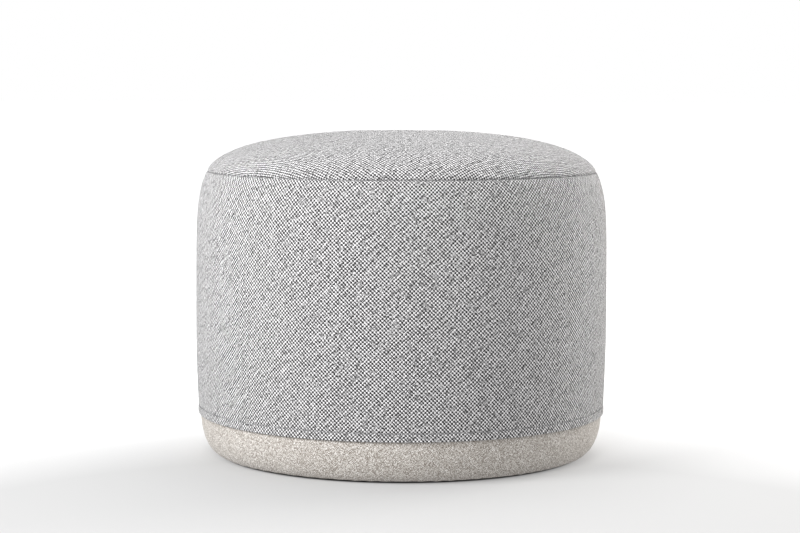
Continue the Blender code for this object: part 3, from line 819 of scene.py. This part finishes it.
wad_wall = WALL_RADIUS - WADDING_IN
wad_side = np.vstack([side(np.linspace(SEAM_Z - 0.0020, SWELL_Z, 40), WADDING_TOP),
                      [(wad_wall, WALL_TOP), (wad_wall, TURN_Z)], foot(WADDING_IN)[1:12]])
piece = skin("side_fibre_layer", even(wad_side, 0.0040), 0.0039, wadding, "pouf_body", ("side_wadding",),
             columns=140)
wad_top = even(crown(np.linspace(0.0, 0.985, 300), WADDING_TOP), 0.0050)
piece = skin("top_fibre_layer", wad_top, 0.0039, wadding, "pouf_body", ("top_wadding",),
             columns=120, flat=True)

seat_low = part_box("seat_foam")[0][2]
seat_side = side(np.linspace(SEAM_Z, seat_low, 8), FOAM_TOP)
seat_outline = np.vstack([crown(np.linspace(0.0, 1.0, 60), FOAM_TOP), seat_side[1:],
                          [(seat_side[-1][0] - 0.002, seat_low)], [(0.12, seat_low)], [(0.0, seat_low)]])
piece = closed_form("seat_foam_block", seat_outline, foam, "pouf_body", ("seat_foam",), columns=96)

foam_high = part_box("side_foam")[1]
inside, foam_wall, foam_foot = 0.2162, WALL_RADIUS - FOAM_IN, 0.0065
ring = np.vstack([[(inside, foam_high[2])], side(np.linspace(foam_high[2], SWELL_Z, 12), FOAM_TOP),
                  [(foam_wall, WALL_TOP), (foam_wall, 0.0330)], foot(LINEN + GAP)[14:],
                  [(0.2180, foam_foot), (inside, foam_foot), (inside, 0.15)]])
points, _ = carried(np.vstack([ring, ring[:1]]), 120)
mesh = surface("side_foam_wrap", points[:-1], None, (True, True))
piece = join_scene("side_foam_wrap", mesh, foam, "pouf_body", ("side_foam",))

# ---------------------------------------------------------------- seat webbing and spring cloth


def strap(name, along_x, number):
    """A woven strap: its run of heights, eased over each crossing, carried across its width."""
    low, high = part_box(name)
    axis = 0 if along_x else 1
    start, stop = low[axis], high[axis]
    left, right = low[1 - axis], high[1 - axis]
    spacing, rise = 0.1, 0.0018
    run = np.linspace(start, stop, 120)
    over = np.zeros_like(run)
    for crossing in (-1, 0, 1):
        if (number - 2 + crossing) % 2 == (0 if along_x else 1):
            edge = (0.0455 - abs(run - spacing * crossing)) / 0.033 + 0.25
            over = np.maximum(over, np.clip(edge, 0, 1))
    over = over * over * (3 - 2 * over)
    height = low[2] + 0.0014 + rise * over
    grid_run, grid_width = np.meshgrid(run, np.linspace(left, right, 13), indexing="ij")
    grid_height = height[:, None] + 0 * grid_width
    flat = [grid_run, grid_width] if along_x else [grid_width, grid_run]
    points = np.stack(flat + [grid_height], axis=-1)
    uv = np.stack([grid_run, grid_width - (left + right) / 2], axis=-1)
    if along_x:
        points, uv = points[:, ::-1], uv[:, ::-1]
    piece = join_scene(name + "_strap", surface(name, points, uv), webbing, "pouf_body", (name,))
    thicken(piece, 0.0013)


for number in (1, 2, 3):
    strap("webbing_x_%d" % number, True, number)
    strap("webbing_y_%d" % number, False, number)

spring_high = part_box("spring_cloth")[1]
spring = [(0.0, spring_high[2]), (spring_high[0], spring_high[2])]
piece = skin("spring_cloth_hessian", even(spring, 0.012), 0.0007, hessian, "pouf_body", ("spring_cloth",),
             columns=96, flat=True)

# ---------------------------------------------------------------- underside

dust_low, dust_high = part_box("dust_cover")
dust = even([(0.0, dust_low[2]), (dust_high[0] - 0.0004, dust_low[2])], 0.0040)[::-1]
dust_soft = waves(51, 10, (2, 30), (2.0, 16.0), 0.00020)


def dust_push(turn, far):
    """Slack ripples upwards towards the board, none at the rim."""
    return -abs(dust_soft(turn, far)) * np.clip(far / 0.02, 0, 1)


piece = skin("dust_cover_cloth", dust, 0.0006, nonwoven, "pouf_body", ("dust_cover",),
             columns=180, push=dust_push, flat=True)


def staple_ring(name, count, radius, z, outwards, width, phase=0.0):
    """Staples round a circle, each lying along it, in a face that looks outwards or down."""
    turn = FULL * (np.arange(count) + phase) / count
    centre = np.stack([radius * np.cos(turn), radius * np.sin(turn), 0 * turn + z], axis=-1)
    along = np.stack([-np.sin(turn), np.cos(turn), 0 * turn], axis=-1)
    face = np.stack([np.cos(turn), np.sin(turn), 0 * turn], axis=-1)
    if not outwards:
        face = np.zeros((count, 3)) + np.array([0.0, 0.0, -1.0])
    staples(name, centre, along, face, width, "pouf_body")


staple_ring("dust_cover_staples", 20, 0.1980, dust_low[2], False, 0.0100)
staple_ring("linen_staples", 36, 0.1925, UNDER_Z, False, 0.0100, 0.5)
wall_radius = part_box("drum_wall")[1][0]
staple_ring("wall_staples", 24, wall_radius, 0.3090, True, 0.0110)
staple_ring("wall_staples_low", 24, wall_radius, 0.0140, True, 0.0110, 0.5)


def webbing_staples():
    """Three staples across each end of each strap, 8 mm in from its end."""
    centre, along = [], []
    for number in (1, 2, 3):
        for name, axis in (("webbing_x_%d" % number, 0), ("webbing_y_%d" % number, 1)):
            low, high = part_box(name)
            for end in (low[axis] + 0.008, high[axis] - 0.008):
                for share in (0.18, 0.5, 0.82):
                    across = low[1 - axis] + share * (high[1 - axis] - low[1 - axis])
                    centre.append((end, across, 0.3197) if axis == 0 else (across, end, 0.3197))
                    along.append((0.0, 1.0, 0.0) if axis == 0 else (1.0, 0.0, 0.0))
    up = np.zeros((len(centre), 3)) + np.array([0.0, 0.0, 1.0])
    staples("webbing_staples", np.array(centre), np.array(along), up, 0.0095, "pouf_body")


webbing_staples()

# ---------------------------------------------------------------- timber, plastic and steel

kept = {"base_board": base_plywood, "top_ring": base_plywood, "drum_wall": brown_hardboard()}
softwood = sawn_softwood()
for number in range(1, 7):
    kept["post_%d" % number] = softwood
    kept["base_screw_%d" % number] = steel
    kept["ring_screw_%d" % number] = steel
for number in range(1, 5):
    kept["glide_%d" % number] = plastic
    kept["glide_nail_%d" % number] = steel
for name, finish in kept.items():
    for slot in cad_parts[name].material_slots:
        slot.link = "OBJECT"
        slot.material = finish

# ---------------------------------------------------------------- room, light and camera


def floor():
    """A pale floor, one large square. Its colour is painted shade: darker in front of and round the pouf,
    paler towards the back and far out. It also glows though it is no lamp, which is painted light: a ring of
    glow from just outside the foot lifts the contact shadow there, and more glow further out makes it meet
    the white background without an edge."""
    mesh = bpy.data.meshes.new("floor")
    reach = 30.0
    corners = [(-reach, -reach, 0), (reach, -reach, 0), (reach, reach, 0), (-reach, reach, 0)]
    mesh.from_pydata(corners, [], [(0, 1, 2, 3)])
    made = bpy.data.objects.new("floor", mesh)
    bpy.context.scene.collection.objects.link(made)
    paint = Finish("pale floor", (0.78, 0.78, 0.78), 0.85)
    paint.shader.inputs["Emission Color"].default_value = (1.0, 1.0, 1.0, 1.0)
    out = paint.vector("LENGTH", paint.place())
    far = paint.vector("LENGTH", paint.vector("ADD", paint.place(), (0.0, 0.6, 0.0)))
    away = paint.spread(far, 0.55, 1.15, 0.0, 1.0)
    # painted shade: the floor's colour is darker in front of and round the pouf and paler towards the back
    # and far out
    paint.wear(paint.ramp(away, (0.0, (0.33, 0.33, 0.33)), (1.0, (0.60, 0.60, 0.60))))
    # painted light: the floor glows though it is no lamp, in a ring from just outside the foot that lifts the
    # contact shadow, and more further out
    glow = paint.plus(paint.spread(out, 0.2165, 0.2215, 0.0, 0.29), paint.times(away, 0.36),
                      paint.spread(far, 1.2, 4.0, 0.0, 0.20))
    paint.tree.links.new(glow, paint.shader.inputs["Emission Strength"])
    mesh.materials.append(paint.made)


def lamp(name, place, aim, size, power, colour=(1.0, 1.0, 1.0)):
    """A square soft light at a place, turned towards a point."""
    data = bpy.data.lights.new(name, "AREA")
    data.shape = "SQUARE"
    data.size = size
    data.energy = power
    data.color = colour
    made = bpy.data.objects.new(name, data)
    bpy.context.scene.collection.objects.link(made)
    made.location = place
    made.rotation_euler = (Vector(aim) - Vector(place)).to_track_quat("-Z", "Y").to_euler()


floor()
lamp("key", (-2.4, -1.5, 1.6), (0.0, 0.0, 0.2), 1.4, 88.0)
lamp("front", (-0.6, -3.4, 2.6), (0.0, 0.0, 0.2), 1.2, 50.0)
lamp("top", (0.3, 0.9, 3.0), (0.0, 0.0, 0.3), 2.6, 62.0)
lamp("rim", (2.4, 1.5, 1.0), (0.0, 0.0, 0.2), 1.6, 62.0, (1.0, 0.97, 0.93))

# A white background, whose light on the scene is softer than its look
world = bpy.data.worlds.new("studio")
bpy.context.scene.world = world
world.use_nodes = True
sky = world.node_tree.nodes["Background"]
sky.inputs["Color"].default_value = (1.0, 1.0, 1.0, 1.0)
path = world.node_tree.nodes.new("ShaderNodeLightPath")
share = world.node_tree.nodes.new("ShaderNodeMapRange")
world.node_tree.links.new(path.outputs["Is Camera Ray"], share.inputs[0])
share.inputs[3].default_value = 0.40
share.inputs[4].default_value = 1.0
world.node_tree.links.new(share.outputs[0], sky.inputs["Strength"])

bpy.context.scene.view_settings.view_transform = "Standard"
bpy.context.scene.view_settings.look = "None"

lens = bpy.data.cameras.new("camera")
lens.lens = 97.98
lens.sensor_width = 36.0
camera = bpy.data.objects.new("camera", lens)
bpy.context.scene.collection.objects.link(camera)
camera.location = (-0.0017, -2.6495, 0.4638)
dip, roll_angle = 0.08935, 0.00315  # radians: how far the camera looks down, and its small roll
aim = Matrix.Rotation(math.pi / 2 - dip, 4, "X") @ Matrix.Rotation(roll_angle, 4, "Z")
camera.rotation_euler = aim.to_euler()
bpy.context.scene.camera = camera
